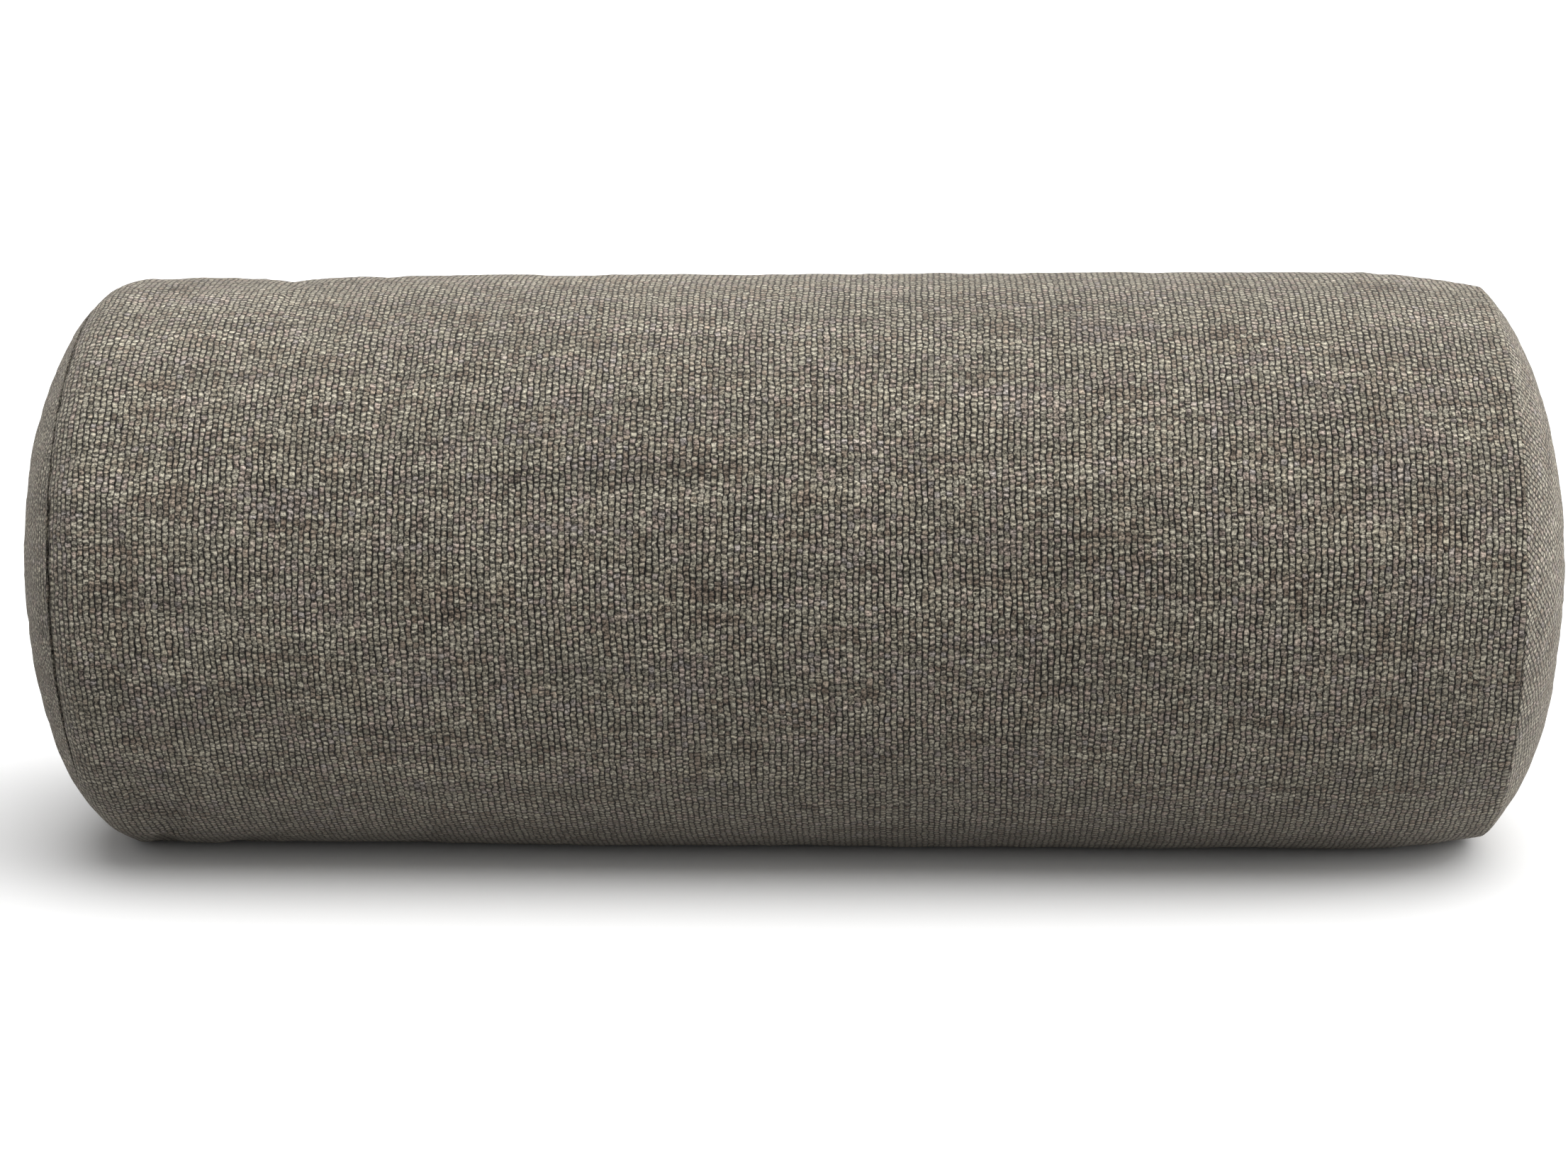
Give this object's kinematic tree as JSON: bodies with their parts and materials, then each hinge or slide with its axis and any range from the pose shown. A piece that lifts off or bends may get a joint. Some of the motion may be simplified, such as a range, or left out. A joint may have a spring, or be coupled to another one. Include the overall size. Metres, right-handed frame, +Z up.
{
  "type": "bolster pillow",
  "caption": "Firm cylindrical bolster pillow with softly domed ends in a chunky woven cover that opens with a zip along its rear seam.",
  "frame": {"origin": "under the middle of the bolster, on the flattened strip that it rests on", "axes": "+X along the bolster's axis to its right end, +Y to the rear where the zip is, +Z up"},
  "size_m": [0.533, 0.2034, 0.1995],
  "materials": {
    "cover_fabric": "chunky plain weave upholstery cloth, melange of beige, grey-green, blue-grey and brown yarns",
    "sewing_thread": "polyester upholstery thread, slight lustre",
    "zip_tape": "fine herringbone woven tape",
    "zip_coil": "satin nylon",
    "zip_metal": "satin gunmetal plating",
    "ticking": "plain unbleached cotton ticking",
    "liner_thread": "cotton thread",
    "wadding": "lofty polyester fibre",
    "foam": "open-cell polyurethane foam"
  },
  "bodies": {
    "bolster": {"cover_tube": "cover_fabric", "cover_end_left": "cover_fabric", "cover_end_right": "cover_fabric", "end_seam_thread_left": "sewing_thread", "end_seam_thread_right": "sewing_thread", "long_seam_thread": "sewing_thread", "zip_stitch_upper": "sewing_thread", "zip_stitch_lower": "sewing_thread", "bar_tacks": "sewing_thread", "zip_tape_upper": "zip_tape", "zip_tape_lower": "zip_tape", "zip_coil_upper": "zip_coil", "zip_coil_lower": "zip_coil", "zip_top_stops": "zip_metal", "zip_bottom_stop": "zip_metal", "liner_tube": "ticking", "liner_end_left": "ticking", "liner_end_right": "ticking", "liner_seam_threads": "liner_thread", "fibre_wrap": "wadding", "fibre_pad_left": "wadding", "fibre_pad_right": "wadding", "foam_core": "foam"},
    "slider": {"zip_slider": "zip_metal"},
    "pull": {"zip_pull": "zip_metal"}
  },
  "joints": [
    {"name": "zip_travel", "type": "slide", "parent": "bolster", "child": "slider", "axis": [-1, 0, 0], "range_m": [0, 0.354]},
    {"name": "pull_swing", "type": "hinge", "parent": "slider", "child": "pull", "pos_m": [0.177, 0.10014, 0.12297], "axis": [0, 0.2419, -0.9703], "range_deg": [0, 175]}
  ]
}
